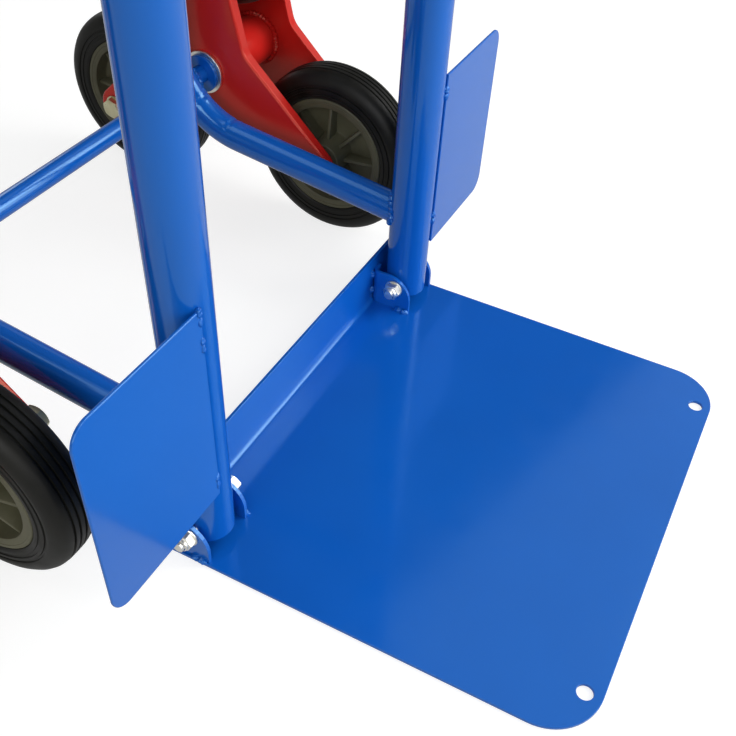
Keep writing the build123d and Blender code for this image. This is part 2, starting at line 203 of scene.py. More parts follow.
@dataclass(frozen=True)
class PowderCoat(Finish):
    """Gloss polyester powder coat baked on steel sheet and tube.

    It gives the eye one deep, even colour under a wet-looking skin that mirrors what stands near
    it, a slight orange peel in the reflections, which take a tint from the colour, and a few
    dust nibs.
    """

    colour: str
    deep: str
    nib: str
    gloss_tint: str
    gloss: float = 1.0
    roughness: float = 0.1
    ior: float = 1.5
    haze: float = 1.7
    drift_mm: float = 90.0
    cloud_mm: float = 26.0
    peel_mm: float = 3.2
    peel_depth_mm: float = 0.03
    peel_strength: float = 0.35
    nib_spacing_mm: float = 34.0
    nib_mm: float = 0.9
    nib_core: float = 0.4
    nib_height: float = 2.0
    nib_share: float = 0.8

    def shade(self, tree: NodeTree, where: NodeSocket) -> Node:
        """Build the coat: colour drift, nibs, uneven gloss and orange peel.

        Args:
            tree: The material's node tree.
            where: Object coordinates, in metres.

        Returns:
            The shader node.
        """
        drift = add_node(tree, "ShaderNodeTexNoise", grain(where, self.drift_mm, Detail=3.0))
        cloud = add_node(tree, "ShaderNodeTexNoise", grain(where, self.cloud_mm, Detail=4.0))
        peel = add_node(tree, "ShaderNodeTexNoise", grain(where, self.peel_mm, Detail=1.0))
        cells = add_node(tree, "ShaderNodeTexVoronoi", grain(where, self.nib_spacing_mm))
        reach = self.nib_mm / self.nib_spacing_mm
        fade = (cells.outputs["Distance"], self.nib_core * reach, reach, 1.0, 0.0)
        dots = add_node(tree, "ShaderNodeMapRange", fade)
        chance = (cells.outputs["Color"], self.nib_share)
        kept = add_node(tree, "ShaderNodeMath", chance, operation="GREATER_THAN")
        nibs = add_node(tree, "ShaderNodeMath", (dots, kept), operation="MULTIPLY")
        shades = {0: drift, 6: linear(self.colour), 7: linear(self.deep)}
        tone = add_node(tree, "ShaderNodeMix", shades, data_type="RGBA")
        flecks = {0: nibs, 6: tone.outputs[2], 7: linear(self.nib)}
        flecked = add_node(tree, "ShaderNodeMix", flecks, data_type="RGBA")
        polish = (cloud, *NOISE_SPAN, self.roughness, self.haze * self.roughness)
        relief = (nibs, self.nib_height, peel)
        skin = {
            "Strength": self.peel_strength,
            "Distance": self.peel_depth_mm * MM,
            "Height": add_node(tree, "ShaderNodeMath", relief, operation="MULTIPLY_ADD"),
        }
        return add_node(
            tree,
            "ShaderNodeBsdfPrincipled",
            {
                "Base Color": flecked.outputs[2],
                "Roughness": add_node(tree, "ShaderNodeMapRange", polish),
                "Normal": add_node(tree, "ShaderNodeBump", skin),
                "IOR": self.ior,
                "Specular IOR Level": self.gloss,
                "Specular Tint": linear(self.gloss_tint),
            },
        )


@dataclass(frozen=True)
class ZincPlate(Finish):
    """Bright zinc plate with a thin passivation on turned and pressed steel.

    It gives the eye a pale mirror that is cloudy in places, with a faint straw tint and fine
    tool marks. The marks are drawn wider than real ones, which are under 0.1 mm, so that they
    show.
    """

    bright: str
    straw: str
    polish: Pair = (0.26, 0.4)
    cloud_mm: float = 6.0
    mark_mm: float = 0.7
    mark_depth_mm: float = 0.005
    mark_strength: float = 0.12

    def shade(self, tree: NodeTree, where: NodeSocket) -> Node:
        """Build the plating: straw clouds, uneven polish and tool marks.

        Args:
            tree: The material's node tree.
            where: Object coordinates, in metres.

        Returns:
            The shader node.
        """
        cloud = add_node(tree, "ShaderNodeTexNoise", grain(where, self.cloud_mm, Detail=4.0))
        marks = add_node(tree, "ShaderNodeTexNoise", grain(where, self.mark_mm, Detail=2.0))
        shades = {0: cloud, 6: linear(self.bright), 7: linear(self.straw)}
        tone = add_node(tree, "ShaderNodeMix", shades, data_type="RGBA")
        polish = (cloud, *NOISE_SPAN, *self.polish)
        skin = {
            "Strength": self.mark_strength,
            "Distance": self.mark_depth_mm * MM,
            "Height": marks,
        }
        return add_node(
            tree,
            "ShaderNodeBsdfPrincipled",
            {
                "Base Color": tone.outputs[2],
                "Metallic": 1.0,
                "Roughness": add_node(tree, "ShaderNodeMapRange", polish),
                "Normal": add_node(tree, "ShaderNodeBump", skin),
            },
        )


@dataclass(frozen=True)
class Moulded(Finish):
    """A moulded rubber or plastic with the fine grain of its mould.

    It gives the eye a soft sheen on a mottled body colour, dull where dust lies on it. The grain
    is drawn coarser than the real one, which is about 0.3 mm, so that it shows.
    """

    colour: str
    dusty: str
    grain_mm: float
    mottle_mm: float
    roughness: float
    dust: float = 0.5
    gloss: float = 0.5
    haze: float = 0.14
    dust_span: Pair = (0.4, 0.75)
    grain_depth_mm: float = 0.05
    grain_strength: float = 0.4

    def shade(self, tree: NodeTree, where: NodeSocket) -> Node:
        """Build the moulding: mottle, dust and mould grain.

        Args:
            tree: The material's node tree.
            where: Object coordinates, in metres.

        Returns:
            The shader node.
        """
        mottle = add_node(tree, "ShaderNodeTexNoise", grain(where, self.mottle_mm, Detail=5.0))
        pores = add_node(tree, "ShaderNodeTexNoise", grain(where, self.grain_mm, Detail=2.0))
        share = add_node(tree, "ShaderNodeMapRange", (mottle, *self.dust_span, 0.0, self.dust))
        shades = {0: share, 6: linear(self.colour), 7: linear(self.dusty)}
        tone = add_node(tree, "ShaderNodeMix", shades, data_type="RGBA")
        sheen = (mottle, *NOISE_SPAN, self.roughness, self.roughness + self.haze)
        skin = {
            "Strength": self.grain_strength,
            "Distance": self.grain_depth_mm * MM,
            "Height": pores,
        }
        return add_node(
            tree,
            "ShaderNodeBsdfPrincipled",
            {
                "Base Color": tone.outputs[2],
                "Roughness": add_node(tree, "ShaderNodeMapRange", sheen),
                "Normal": add_node(tree, "ShaderNodeBump", skin),
                "Specular IOR Level": self.gloss,
            },
        )


# Deep blue, glossy enough to mirror the floor and the plate below in a light sky blue.
BLUE_COAT = PowderCoat(
    "Blue gloss powder coat", Slot.BLUE, "#0C5FC0", "#0B58B5", "#6A9CE4", "#AAE1FF"
)
# Signal red, the same coat on pressed sheet, with a warm and softer gloss.
RED_COAT = PowderCoat(
    "Red gloss powder coat", Slot.RED, "#D82923", "#C8201C", "#E0584F", "#FFC9AE", 0.6, 0.15
)
# Pale cloudy mirror of the hinge bolts and the washers.
ZINC = ZincPlate("Bright zinc plate", Slot.ZINC, "#F1F0EC", "#E4E1D2")
# The same plate with a yellow passivation, on the wheel bolts.
YELLOW_ZINC = ZincPlate("Yellow zinc plate", Slot.ZINC, "#DDDABD", "#C4BC8E")
# Black solid rubber with the sheen of its mould and grey dust.
TYRE_RUBBER = Moulded(
    "Black solid tyre rubber", Slot.TYRE, "#0D0D09", "#24231C", 0.9, 16.0, 0.4, 0.4, 0.25
)
# Grey plastic with a satin mould texture.
RIM_PLASTIC = Moulded(
    "Grey moulded polypropylene", Slot.RIM, "#53523E", "#68664F", 0.8, 30.0, 0.45, 0.6, 0.4
)
# Milky nylon of the bushes.
NYLON = Moulded("Natural nylon", Slot.NYLON, "#D6D3C6", "#BDB9A8", 0.8, 12.0, 0.4)
# Blue nylon of the ring in a locknut.
NYLON_RING = Moulded("Blue nylon insert", Slot.NYLON, "#2B57B8", "#4C77CC", 0.8, 8.0, 0.35)
# Soft black vinyl of the grips, with a dull skin.
GRIP_VINYL = Moulded("Black grip vinyl", Slot.GRIP, "#161617", "#2C2C2D", 0.9, 14.0, 0.5)


@dataclass(frozen=True)
class Run:
    """A straight length of tube."""

    length: float


@dataclass(frozen=True)
class Bend:
    """A bend of a tube, about the direction that its path turns on."""

    radius: float
    degrees: float
    steps: int = 24


@dataclass(frozen=True)
class Cope:
    """A round bar that another one is cut to fit against."""

    point: Vector
    axis: Vector
    radius: float

    def reach(self, base: Vector, heading: Vector) -> float:
        """Find how far a point moves along a heading to come out on the bar's surface.

        Args:
            base: The point.
            heading: Unit direction that leads away from the bar.

        Returns:
            The distance along the heading.
        """
        offset = base - self.point
        flat = offset - self.axis * offset.dot(self.axis)
        along = heading - self.axis * heading.dot(self.axis)
        a, b, c = along.dot(along), 2 * flat.dot(along), flat.dot(flat) - self.radius**2
        return (-b + math.sqrt(max(b * b - 4 * a * c, 0.0))) / (2 * a)


@dataclass(frozen=True)
class TubePath:
    """Where a tube starts and heads, and how it goes on. All its bends turn about one direction."""

    start: Vector
    heading: Vector
    turning: Vector
    moves: Sequence[Union[Run, Bend]]

    def carry(self, bm: BMesh, radius: float, sides: int) -> tuple[Ring, Ring, Vector]:
        """Carry a ring along the path and leave a skin behind it.

        Args:
            bm: Mesh that gets the skin.
            radius: Radius of the ring.
            sides: Number of points on the ring.

        Returns:
            The first ring, the last ring and the heading at the end.
        """
        place = facing(self.start, self.heading, self.turning) @ ABOUT_X
        first = bmesh.ops.create_circle(bm, segments=sides, radius=radius, matrix=place)["verts"]
        ring, centre, heading = first, self.start.copy(), self.heading.copy()
        for move in self.moves:
            edges = ring_edges(ring)
            if isinstance(move, Run):
                ring = points_of(bmesh.ops.extrude_edge_only(bm, edges=edges)["geom"])
                step = heading * move.length
                bmesh.ops.translate(bm, verts=ring, vec=step)
                centre = centre + step
                continue
            turn = math.radians(move.degrees)
            pivot = centre + self.turning.cross(heading) * math.copysign(move.radius, turn)
            swept = bmesh.ops.spin(
                bm,
                geom=ring + edges,
                cent=pivot,
                axis=self.turning,
                angle=turn,
                steps=move.steps,
            )
            ring = points_of(swept["geom_last"])
            swing = Matrix.Rotation(turn, 3, self.turning)
            centre = pivot + swing @ (centre - pivot)
            heading = swing @ heading
        return first, ring, heading


def points_of(made: Iterable[object]) -> Ring:
    """The points among what an operator made."""
    return [part for part in made if isinstance(part, BMVert)]


def ring_edges(ring: Iterable[BMVert]) -> list[BMEdge]:
    """The edges with both ends in a ring of points."""
    members = set(ring)
    return [e for e in {e for v in members for e in v.link_edges} if set(e.verts) <= members]


def facing(point: Vector, heading: Vector, side: Vector) -> Matrix:
    """Make a placement whose local X looks along a heading.

    Args:
        point: Origin of the placement.
        heading: Direction of local X.
        side: Direction near local Z.

    Returns:
        The placement.
    """
    across = side.cross(heading).normalized()
    up = heading.cross(across).normalized()
    turned = Matrix((heading.normalized(), across, up)).transposed()
    return Matrix.Translation(point) @ turned.to_4x4()


def closed_shape(bm: BMesh) -> BMesh:
    """Merge doubles and turn all faces outwards.

    Args:
        bm: Mesh to mend.

    Returns:
        The same mesh.
    """
    bmesh.ops.remove_doubles(bm, verts=bm.verts, dist=MERGE_MM)
    bmesh.ops.recalc_face_normals(bm, faces=bm.faces)
    return bm


def full_turn(bm: BMesh, line: list[Union[BMVert, BMEdge]], steps: int) -> None:
    """Turn a line of points and edges once about the X axis, in this number of flats."""
    bmesh.ops.spin(
        bm, geom=line, cent=(0, 0, 0), axis=X_AXIS, angle=TURN, steps=steps, use_merge=True
    )


def tube(path: TubePath, outer: float, wall: float, copes: Copes = (None, None)) -> BMesh:
    """Make a tube with a wall along a path.

    Args:
        path: The tube's centre line.
        outer: Outer radius.
        wall: Wall thickness.
        copes: What the first and the last end are cut to fit against.

    Returns:
        The tube.
    """
    bm = bmesh.new()
    skins = [path.carry(bm, radius, TUBE_SIDES) for radius in (outer, outer - wall)]
    for end, cope in enumerate(copes):
        for skin in skins:
            leading = path.heading if end == 0 else -skin[2]
            for vert in skin[end] if cope else ():
                vert.co += leading * cope.reach(vert.co, leading)
        bmesh.ops.bridge_loops(bm, edges=ring_edges(skins[0][end]) + ring_edges(skins[1][end]))
    bmesh.ops.recalc_face_normals(bm, faces=bm.faces)
    return bm


def lathe(profile: Outline, place: Matrix, steps: int = 64, closed: bool = True) -> BMesh:
    """Turn a profile about its local X axis.

    Args:
        profile: Points as (distance along the axis, radius).
        place: Where the axis stands.
        steps: Number of flats round the axis.
        closed: Whether the last point joins the first.

    Returns:
        The turned shape.
    """
    bm = bmesh.new()
    verts = [bm.verts.new((along, radius, 0)) for along, radius in profile]
    pairs = list(zip(verts, verts[1:])) + ([(verts[-1], verts[0])] if closed else [])
    full_turn(bm, verts + [bm.edges.new(pair) for pair in pairs], steps)
    bmesh.ops.transform(bm, matrix=place, verts=bm.verts)
    return closed_shape(bm)


def hex_prism(flats: float, height: float, place: Matrix) -> BMesh:
    """Make a hexagon bar from x = 0 to its height, with the round chamfer of a bolt head.

    Args:
        flats: Width across flats.
        height: Length along local X.
        place: Where the bar stands.

    Returns:
        The bar.
    """
    bm = bmesh.new()
    sides, chamfer_deg, crown_share = 72, 30.0, 0.94
    slope, crown_r = math.tan(math.radians(chamfer_deg)), crown_share * flats / 2
    rings = [bmesh.ops.create_circle(bm, segments=sides, radius=1.0, matrix=ABOUT_X)["verts"]]
    for _ in range(2):
        made = bmesh.ops.extrude_edge_only(bm, edges=ring_edges(rings[-1]))["geom"]
        rings.append(points_of(made))
    for level, ring in enumerate(rings):
        for vert in ring:
            angle = math.atan2(vert.co.z, vert.co.y)
            corner_r = flats / 2 / math.cos(angle % (TURN / 6) - TURN / 12)
            drop = max(corner_r - crown_r, 0.0) * slope
            radius = (corner_r, corner_r, min(corner_r, crown_r))[level]
            along = (0.0, height - drop, height)[level]
            vert.co = Vector((along, radius * math.cos(angle), radius * math.sin(angle)))
    for end in (rings[0], rings[2]):
        bmesh.ops.edgeloop_fill(bm, edges=ring_edges(end))
    bmesh.ops.transform(bm, matrix=place, verts=bm.verts)
    return closed_shape(bm)


def weld_ring(
    centre: Vector, heading: Vector, ring_r: float, bead_r: float, cope: Optional[Cope] = None
) -> BMesh:
    """Lay a rippled weld bead round a tube where it meets another part.

    Args:
        centre: Point on the tube's axis at the joint.
        heading: Direction of the tube, away from the joint.
        ring_r: Radius of the tube.
        bead_r: Radius of the bead's section.
        cope: The round part that the tube is cut to fit, or none for a flat one.

    Returns:
        The bead.
    """
    bead_sides, ripple_steps, fewest_ripples = 10, 4, 8
    ripple_mm, ripple_share, lump_mm, lump_share = 3.4, 0.2, 9.0, 0.25
    bm = bmesh.new()
    lies_along_x = abs(heading.x) >= 0.9
    place = facing(centre, heading, Z_AXIS if lies_along_x else X_AXIS)
    start = Matrix.Translation((0, ring_r, 0))
    bead = bmesh.ops.create_circle(bm, segments=bead_sides, radius=bead_r, matrix=start)["verts"]
    ripples = max(round(TURN * ring_r / ripple_mm), fewest_ripples)
    full_turn(bm, bead + ring_edges(bead), ripple_steps * ripples)
    for vert in bm.verts:
        angle = math.atan2(vert.co.z, vert.co.y)
        spine = Vector((0, ring_r * math.cos(angle), ring_r * math.sin(angle)))
        lump = lump_share * noise.noise(spine / lump_mm)
        swell = 1 + ripple_share * math.sin(ripples * angle) + lump
        slide = cope.reach(place @ spine, heading) if cope else 0.0
        vert.co = place @ (spine + (vert.co - spine) * swell) + heading * slide
    return closed_shape(bm)


def weld_tack(point: Vector, along: Vector, normal: Vector, size: Triple, seed: float) -> BMesh:
    """Drop a short lumpy weld on a surface.

    Args:
        point: Middle of the weld.
        along: Direction of its length.
        normal: Direction away from the surface.
        size: Half length, half width and height.
        seed: Offset of the lumps, so that no two look alike.

    Returns:
        The weld.
    """
    lump_scale, lump_share, ripples, ripple_share = 1.4, 0.28, 8, 0.05
    bm = bmesh.new()
    bmesh.ops.create_icosphere(bm, subdivisions=4, radius=1.0)
    for vert in bm.verts:
        lump = noise.noise(vert.co * lump_scale + Vector((seed, 0, 0)))
        ripple = math.sin(ripples * vert.co.x + seed)
        vert.co *= 1 + lump_share * lump + ripple_share * ripple
    bmesh.ops.scale(bm, vec=size, verts=bm.verts)
    bmesh.ops.transform(bm, matrix=facing(point, along, normal), verts=bm.verts)
    bmesh.ops.recalc_face_normals(bm, faces=bm.faces)
    return bm


def join(bm: BMesh, other: BMesh) -> None:
    """Take another shape into a mesh.

    Args:
        bm: Mesh that gets the shape.
        other: The shape, which is used up.
    """
    carrier = bpy.data.meshes.new("carrier")
    other.to_mesh(carrier)
    other.free()
    bm.from_mesh(carrier)
    bpy.data.meshes.remove(carrier)


def node_shape(node: str) -> BMesh:
    """Copy a CAD node's mesh, merge its loose triangles and make its flat faces whole.

    Args:
        node: Name of the CAD node.

    Returns:
        The copy, in millimetres.
    """
    same_place_m, flat_deg = 1e-6, 0.2
    bm = bmesh.new()
    bm.from_mesh(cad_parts[node].data)
    bmesh.ops.remove_doubles(bm, verts=bm.verts, dist=same_place_m)
    bmesh.ops.scale(bm, vec=Vector((1, 1, 1)) / MM, verts=bm.verts)
    flat = math.radians(flat_deg)
    bmesh.ops.dissolve_limit(bm, angle_limit=flat, verts=bm.verts, edges=bm.edges)
    return bm


def node_middle(node: str) -> Vector:
    """Middle of a CAD node's box, in millimetres."""
    low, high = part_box(node)
    return (low + high) / (2 * MM)


def smooth_object(name: str, bm: BMesh, material: Material) -> Object:
    """Make a smooth object of a shape in millimetres.

    Args:
        name: Name of the object.
        bm: The shape, which is used up.
        material: What it is made of.

    Returns:
        The object, in metres.
    """
    bmesh.ops.scale(bm, vec=Vector((MM, MM, MM)), verts=bm.verts)
    mesh = bpy.data.meshes.new(name)
    bm.to_mesh(mesh)
    bm.free()
    mesh.shade_smooth()
    mesh.materials.append(material)
    made = bpy.data.objects.new(name, mesh)
    bpy.context.scene.collection.objects.link(made)
    return made


@dataclass(frozen=True)
class Piece:
    """One finished piece of the truck, with the CAD nodes that it stands for."""

    name: str
    body: str
    finish: Finish
    stands_for: tuple[str, ...] = ()
    edge_mm: float = 0.0
    crease_deg: float = CREASE_DEG

    def build(self, *shapes: BMesh) -> None:
        """Join shapes, dress them and set them on the piece's body.

        Args:
            shapes: Shapes in millimetres of the truck's own frame, which are used up.
        """
        whole = bmesh.new()
        for shape in shapes:
            join(whole, shape)
        made = smooth_object(self.name, whole, self.finish.material())
        made.data.set_sharp_from_angle(angle=math.radians(self.crease_deg))
        if self.edge_mm:
            self.round_edges(made)
        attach(made, self.body)
        if self.stands_for:
            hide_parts(*self.stands_for)
        LOG.info("%s: %d faces on %s", self.name, len(made.data.polygons), self.body)

    def round_edges(self, made: Object) -> None:
        """Round the sharp edges of an object.

        Args:
            made: The object.
        """
        bevel = made.modifiers.new("Rounded edges", "BEVEL")
        bevel.width = self.edge_mm * MM
        bevel.segments = 3
        bevel.limit_method = "ANGLE"
        bevel.angle_limit = math.radians(self.crease_deg)
        bevel.harden_normals = True
        # Large flat faces set the normals, so that a flat sheet mirrors flat.
        level = made.modifiers.new("Flat faces", "WEIGHTED_NORMAL")
        level.keep_sharp = True
        level.weight = 100


def rounded_copy(node: str, body: str, finish: Finish, edge_mm: float) -> None:
    """Replace a CAD node by a copy whose edges are rounded over this width."""
    Piece(f"{node}_dressed", body, finish, (node,), edge_mm).build(node_shape(node))


def dress_node(node: str, finish: Finish) -> None:
    """Give a CAD node that keeps its shape a finish.

    Args:
        node: Name of the CAD node.
        finish: Its finish.
    """
    for material_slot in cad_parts[node].material_slots:
        material_slot.material = finish.material()
    LOG.info("%s: finish %s", node, finish.name)


@dataclass(frozen=True)
class Layout:
    """Main places of the truck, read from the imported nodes."""

    upright_x: float
    upright_y: float
    axle_y: float
    axle_z: float

    @classmethod
    def from_frame(cls) -> "Layout":
        """Read the places from the CAD nodes' boxes.

        Returns:
            The layout, in millimetres.
        """
        low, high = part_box("upright_right")
        radius = (high.x - low.x) / 2
        axle = node_middle("axle")
        return cls((low.x + radius) / MM, (low.y + radius) / MM, axle.y, axle.z)

    def on_upright(self, side: Side, height: float) -> Vector:
        """Point on the middle line of an upright."""
        return Vector((side.value * self.upright_x, self.upright_y, height))

    def upright_cope(self, side: Side) -> Cope:
        """The upright of one side, as something to weld against."""
        return Cope(self.on_upright(side, 0.0), Z_AXIS, TubeFrame.upright_d / 2)


@dataclass(frozen=True)
class TubeFrame:
    """Welded tube frame: uprights, stays, cross bars and axle."""

    at: Layout
    upright_d: float = 35.0
    wall: float = 1.5
    foot_z: float = 13.5
    handle_bend_z: float = 960.0
    handle_bend_r: float = 100.0
    handle_turn: float = 65.0
    handle_straight: float = 150.0
    handle_steps: int = 32
    stay_d: float = 25.4
    stay_slope: float = 7.5
    stay_bend_r: float = 76.0
    stay_axle_angle: float = 32.6
    stay_top_z: float = 430.0
    # The lower bend has steps fine enough for its wrinkles.
    stay_steps: tuple[int, int] = (96, 32)
    bar_d: float = 25.0
    bar_bow: float = 26.0
    bar_steps: int = 48
    axle_d: float = 16.0
    bead_r: float = 2.6
    wrinkle_depth: float = 0.55
    wrinkle_mm: float = 11.0
    wrinkle_spots: Pair = (7.0, 36.0)
    wrinkle_reach: float = 5.0
    wrinkle_fade: float = 2.0
    wrinkle_hold: float = 1.5

    def build_upright(self, side: Side) -> None:
        """Build an upright with its handle.

        Args:
            side: Side of the truck.
        """
        node, foot = f"upright_{side.word}", self.at.on_upright(side, self.foot_z)
        moves = (
            Run(self.handle_bend_z - self.foot_z),
            Bend(self.handle_bend_r, -self.handle_turn, self.handle_steps),
            Run(self.handle_straight),
        )
        shape = tube(TubePath(foot, Z_AXIS, X_AXIS, moves), self.upright_d / 2, self.wall)
        Piece(f"{node}_tube", "frame", BLUE_COAT, (node,)).build(shape)

    def stay_pivot(self) -> Pair:
        """Middle of a stay's lower bend, which the axle lies on, as (y, z)."""
        hold, radius = math.radians(self.stay_axle_angle), self.stay_bend_r
        return self.at.axle_y - radius * math.cos(hold), self.at.axle_z + radius * math.sin(hold)

    def stay_path(self, side: Side) -> TubePath:
        """Centre line of a stay, from the lower joint round the axle to the upper joint.

        Args:
            side: Side of the truck.

        Returns:
            The path between the upright's two joints.
        """
        slope, radius = math.radians(self.stay_slope), self.stay_bend_r
        (bend_y, bend_z), (lower_steps, upper_steps) = self.stay_pivot(), self.stay_steps
        leg_y = bend_y + radius * math.sin(slope) - self.at.upright_y
        leg_z = bend_z - radius * math.cos(slope) - leg_y * math.tan(slope)
        moves = (
            Run(leg_y / math.cos(slope)),
            Bend(radius, 90 - self.stay_slope, lower_steps),
            Run(self.stay_top_z - radius - bend_z),
            Bend(radius, 90, upper_steps),
            Run(bend_y - self.at.upright_y),
        )
        heading = Vector((0, math.cos(slope), math.sin(slope)))
        return TubePath(self.at.on_upright(side, leg_z), heading, X_AXIS, moves)

    def wrinkle(self, bm: BMesh) -> None:
        """Press the small wrinkles of a cold bend into the inside of the lower bend.

        Args:
            bm: The stay.
        """
        pivot = Vector((0, *self.stay_pivot()))
        wave = TURN * self.stay_bend_r / self.wrinkle_mm
        for vert in bm.verts:
            spoke = Vector((0, vert.co.y - pivot.y, vert.co.z - pivot.z))
            inside = (self.stay_bend_r - spoke.length) / (self.stay_d / 2)
            angle = math.atan2(spoke.y, -spoke.z) - math.radians(self.stay_slope)
            if inside <= 0 or not 0 <= angle <= math.pi / 2:
                continue
            for spot in self.wrinkle_spots:
                off = angle - math.radians(spot)
                away = math.degrees(off) / self.wrinkle_reach
                fade = inside**self.wrinkle_hold * math.exp(-self.wrinkle_fade * away**2)
                push = self.wrinkle_depth * fade * math.cos(wave * off)
                vert.co += spoke.normalized() * push

    def build_stay(self, side: Side) -> None:
        """Build a stay and weld it to its upright and to the axle.

        Args:
            side: Side of the truck.
        """
        node, cope, radius = f"stay_{side.word}", self.at.upright_cope(side), self.stay_d / 2
        path = self.stay_path(side)
        shape = tube(path, radius, self.wall, (cope, cope))
        self.wrinkle(shape)
        Piece(f"{node}_tube", "frame", BLUE_COAT, (node,)).build(shape)
        top = self.at.on_upright(side, self.stay_top_z)
        hold = math.radians(self.stay_axle_angle)
        axle = Vector((path.start.x, self.at.axle_y, self.at.axle_z))
        stay = Cope(axle, Vector((0, math.sin(hold), math.cos(hold))), radius)
        joints = (
            (path.start, path.heading, radius, cope),
            (top, Y_AXIS, radius, cope),
            (axle, X_AXIS, self.axle_d / 2, stay),
            (axle, -X_AXIS, self.axle_d / 2, stay),
        )
        Piece(f"{node}_welds", "frame", BLUE_COAT).build(
            *(weld_ring(point, out, ring_r, self.bead_r, on) for point, out, ring_r, on in joints)
        )

    def build_cross_bar(self, level: Level) -> None:
        """Build a bowed cross bar with a weld at each end.

        Args:
            level: Which bar.
        """
        node, radius = f"cross_bar_{level.name.lower()}", self.bar_d / 2
        half_span = self.at.upright_x
        arc_r = (half_span**2 + self.bar_bow**2) / (2 * self.bar_bow)
        half = math.asin(half_span / arc_r)
        heading = Vector((math.cos(half), math.sin(half), 0))
        ends = [self.at.on_upright(side, level.value) for side in Side]
        copes = [self.at.upright_cope(side) for side in Side]
        arch = Bend(arc_r, -2 * math.degrees(half), self.bar_steps)
        path = TubePath(ends[0], heading, Z_AXIS, (arch,))
        shape = tube(path, radius, self.wall, copes)
        Piece(f"{node}_tube", "frame", BLUE_COAT, (node,)).build(shape)
        inwards = (heading, Vector((-heading.x, heading.y, 0)))
        joints = zip(ends, inwards, copes)
        Piece(f"{node}_welds", "frame", BLUE_COAT).build(
            *(weld_ring(end, inward, radius, self.bead_r, cope) for end, inward, cope in joints)
        )

    def build(self) -> None:
        """Build the whole frame."""
        for side in Side:
            self.build_upright(side)
            self.build_stay(side)
        for level in Level:
            self.build_cross_bar(level)
        for node in ("axle", "axle_collars"):
            dress_node(node, BLUE_COAT)


@dataclass(frozen=True)
class Grip:
    """Ribbed vinyl grip on the end of a handle."""

    tubes: TubeFrame
    side: Side
    length: float = 125.0
    bore_r: float = 17.55
    body_r: float = 20.5
    rib_height: float = 1.2
    rib_count: int = 14
    rib_gap: float = 2.0
    flange_r: float = 27.0
    flange_t: float = 5.0
    end_t: float = 4.0
    steps: int = 72
    # Rounded edges of the flange and of the end, as (distance from the face, drop in radius).
    flange_front: Outline = ((0.0, 1.5), (0.6, 0.4), (1.7, 0.0))
    flange_back: Outline = ((1.7, 0.0), (0.5, 0.5), (0.0, 1.6))
    end_edge: Outline = ((3.0, 0.0), (1.0, 1.0), (0.0, 3.0))
    # The step from the flange to the body, as (distance from the flange, rise above the body).
    flange_foot: Pair = (0.4, 0.8)
    # One rib, as (share of the pitch, share of the rib's height).
    rib_form: Outline = (
        (0.0, 0.0), (0.24, 0.0), (0.32, 0.75), (0.42, 1.0), (0.72, 1.0), (0.82, 0.75), (0.9, 0.0)
    )
    # The dimple of the closed end, as (depth, radius).
    dimple: Outline = ((0.0, 6.0), (1.2, 5.0), (1.2, 0.0))

    def profile(self) -> list[Pair]:
        """Outline of the grip from its mouth to the middle of its closed end.

        Returns:
            Points as (distance from the mouth, radius).
        """
        top, flange, end = self.flange_r, self.flange_t, self.length + self.end_t
        points = [(0.0, self.bore_r)]
        points += [(along, top - drop) for along, drop in self.flange_front]
        points += [(flange - back, top - drop) for back, drop in self.flange_back]
        points.append((flange + self.flange_foot[0], self.body_r + self.flange_foot[1]))
        pitch = (self.length - 2 * flange) / self.rib_count
        for rib in range(self.rib_count):
            start = flange + self.rib_gap + rib * pitch
            points += [
                (start + along * pitch, self.body_r + rise * self.rib_height)
                for along, rise in self.rib_form
            ]
        points += [(end - back, self.body_r - drop) for back, drop in self.end_edge]
        return points + [(end - back, radius) for back, radius in self.dimple]

    def build(self) -> None:
        """Build the grip."""
        tubes, node = self.tubes, f"grip_{self.side.word}"
        turn = math.radians(tubes.handle_turn)
        heading = Vector((0, math.sin(turn), math.cos(turn)))
        bend_top = tubes.handle_bend_z + tubes.handle_bend_r * math.sin(turn)
        bend_end = tubes.at.on_upright(self.side, bend_top)
        bend_end.y += tubes.handle_bend_r * (1 - math.cos(turn))
        mouth = bend_end + heading * (tubes.handle_straight - self.length)
        shape = lathe(self.profile(), facing(mouth, heading, X_AXIS), self.steps, closed=False)
        Piece(f"{node}_sleeve", "frame", GRIP_VINYL, (node,)).build(shape)


@dataclass(frozen=True)
class Wing:
    """Flat guard in front of a wheel star, tacked to the front of its upright."""

    at: Layout
    side: Side
    edge_mm: float = 0.7
    tuck: float = 1.4
    tack: Triple = (3.4, 2.4, 1.9)
    tack_x: float = 161.4
    tack_back: float = 17.0
    tack_lean: float = 0.45
    left_heights: tuple[float, ...] = (210.5, 204.0, 191.0, 185.0, 77.0, 71.0)
    right_heights: tuple[float, ...] = (199.0, 193.5, 88.0, 82.0)

    def build(self) -> None:
        """Build the wing and its tack welds."""
        node, sign = f"wing_{self.side.word}", self.side.value
        sheet = node_shape(node)
        inner_x = min(abs(v.co.x) for v in sheet.verts)
        inner = [v for v in sheet.verts if abs(v.co.x) < inner_x + self.tuck]
        # The inner edge is tucked into the upright, so that no light shows between them.
        bmesh.ops.translate(sheet, verts=inner, vec=X_AXIS * (-sign * self.tuck))
        Piece(f"{node}_dressed", "frame", BLUE_COAT, (node,), self.edge_mm).build(sheet)
        heights = self.left_heights if self.side is Side.LEFT else self.right_heights
        normal = Vector((-sign * self.tack_lean, -1, 0)).normalized()
        front = self.at.upright_y - self.tack_back
        points = [Vector((sign * self.tack_x, front, height)) for height in heights]
        Piece(f"{node}_tacks", "frame", BLUE_COAT, crease_deg=LUMP_DEG).build(
            *(weld_tack(point, Z_AXIS, normal, self.tack, point.z) for point in points)
        )


